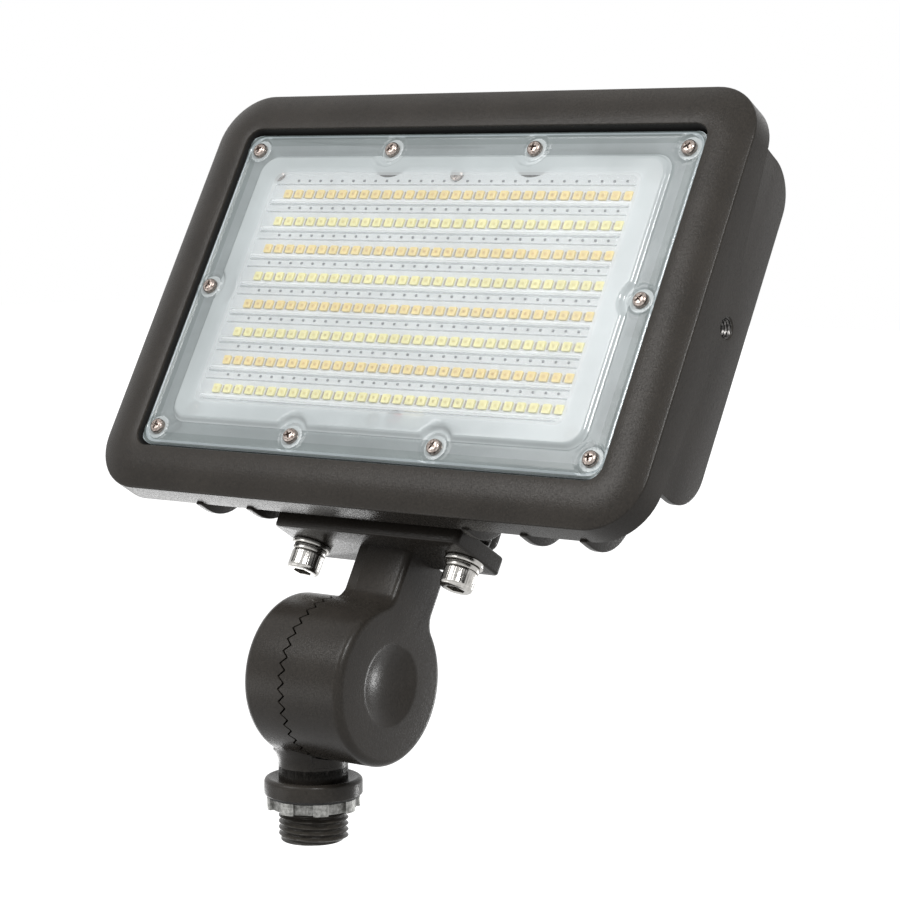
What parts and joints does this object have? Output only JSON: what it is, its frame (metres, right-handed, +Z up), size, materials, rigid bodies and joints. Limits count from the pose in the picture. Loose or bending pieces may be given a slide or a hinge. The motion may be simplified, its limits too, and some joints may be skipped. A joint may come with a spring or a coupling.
{
  "type": "led flood light",
  "caption": "Rectangular cast flood light with a clear lens and lamp board, finned back, and a toothed tilting knuckle on a threaded conduit stub.",
  "frame": {"origin": "centre of the collar seat on the axis of the threaded conduit stub, where the stub enters a box or hub", "axes": "+Z up along the stub, out of the box; the lamp faces -Y and leans back by 30 degrees at rest; the tilt axis runs along X"},
  "size_m": [0.202, 0.1047, 0.2235],
  "materials": {
    "bronze_coat": "dark bronze powder coat on die-cast aluminium, fine satin texture",
    "black_rubber": "matte",
    "zinc": "zinc plated",
    "stainless": "bright turned",
    "clear_lens": "clear, polished",
    "white_board": "white solder mask",
    "warm_phosphor": "orange silicone gel",
    "cool_phosphor": "yellow silicone gel",
    "ivory_plastic": "satin",
    "red_insulation": "satin",
    "driver_case": "satin",
    "black_insulation": "satin",
    "black_plastic": "satin",
    "white_plastic": "satin"
  },
  "bodies": {
    "base": {"knuckle_base": "bronze_coat", "knuckle_seal": "black_rubber"},
    "gasket": {"stub_gasket": "black_rubber"},
    "nut": {"locknut": "zinc"},
    "bolt_washers": {"knuckle_washer": "stainless", "knuckle_spring_washer": "stainless"},
    "bolt": {"knuckle_bolt": "stainless"},
    "head": {"knuckle_arm": "bronze_coat", "plate_gasket": "black_rubber", "plate_washers": "stainless", "plate_spring_washers": "stainless", "plate_screws": "stainless", "housing": "bronze_coat", "lens_gasket": "black_rubber", "lens": "clear_lens", "lens_screws": "stainless", "led_board": "white_board", "warm_leds": "warm_phosphor", "cool_leds": "cool_phosphor", "board_connector": "ivory_plastic", "board_screws": "stainless", "led_leads": "red_insulation", "driver": "driver_case", "driver_screws": "stainless", "supply_leads": "black_insulation", "cover_gasket": "black_rubber", "rear_cover": "bronze_coat", "cover_screws": "stainless", "switch_body": "black_plastic", "switch_cap": "black_rubber"},
    "lever": {"switch_lever": "white_plastic"}
  },
  "joints": [
    {"name": "tilt", "type": "hinge", "parent": "base", "child": "head", "pos_m": [0, 0, 0.036], "axis": [1, 0, 0], "range_deg": [-63, 117]},
    {"name": "nut_travel", "type": "slide", "parent": "base", "child": "gasket", "axis": [0, 0, -1], "range_m": [0, 0.00726]},
    {"name": "nut_turn", "type": "hinge", "parent": "gasket", "child": "nut", "pos_m": [0, 0, -0.002], "axis": [0, 0, -1], "range_deg": [0, 1440]},
    {"name": "bolt_travel", "type": "slide", "parent": "base", "child": "bolt_washers", "axis": [-1, 0, 0], "range_m": [0, 0.003]},
    {"name": "bolt_turn", "type": "hinge", "parent": "bolt_washers", "child": "bolt", "pos_m": [0, 0, 0.036], "axis": [-1, 0, 0], "range_deg": [0, 1080]},
    {"name": "switch_slide", "type": "slide", "parent": "head", "child": "lever", "axis": [1, 0, 0], "range_m": [-0.0025, 0.0025]}
  ],
  "couplings": [
    {"joint": "nut_turn", "follows": "nut_travel", "rad_per_m": 3463.1},
    {"joint": "bolt_turn", "follows": "bolt_travel", "rad_per_m": 6283.2}
  ]
}
